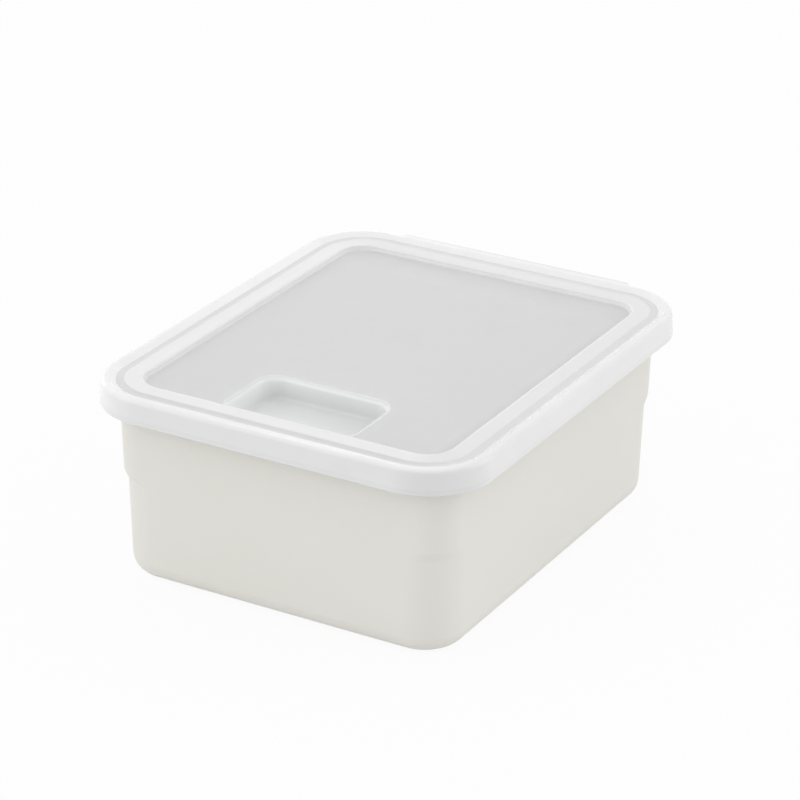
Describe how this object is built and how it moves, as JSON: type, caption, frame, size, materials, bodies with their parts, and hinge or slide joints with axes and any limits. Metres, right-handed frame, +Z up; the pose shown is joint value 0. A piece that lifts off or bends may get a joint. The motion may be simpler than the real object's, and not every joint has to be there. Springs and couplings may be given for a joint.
{
  "type": "food storage container",
  "caption": "Rectangular food storage container: a drafted ivory box with a turned-down rim, and a frosted lift-off lid with a finger recess and a lifting lip.",
  "frame": {"origin": "middle of the foot, at the level that the container stands on", "axes": "+X across the width, +Y from the finger recess at the front to the lifting lip at the back, +Z up, the way the lid lifts off"},
  "size_m": [0.18, 0.2176, 0.0885],
  "materials": {
    "box": "satin ivory-white polypropylene, opaque",
    "lid": "frosted natural polypropylene, milky and slightly see-through"
  },
  "bodies": {
    "box": {"box": "box"},
    "lid": {"lid": "lid"}
  },
  "joints": [
    {"name": "lid_lift", "type": "slide", "parent": "box", "child": "lid", "axis": [0, 0, 1], "range_m": [0, 0.12]}
  ]
}
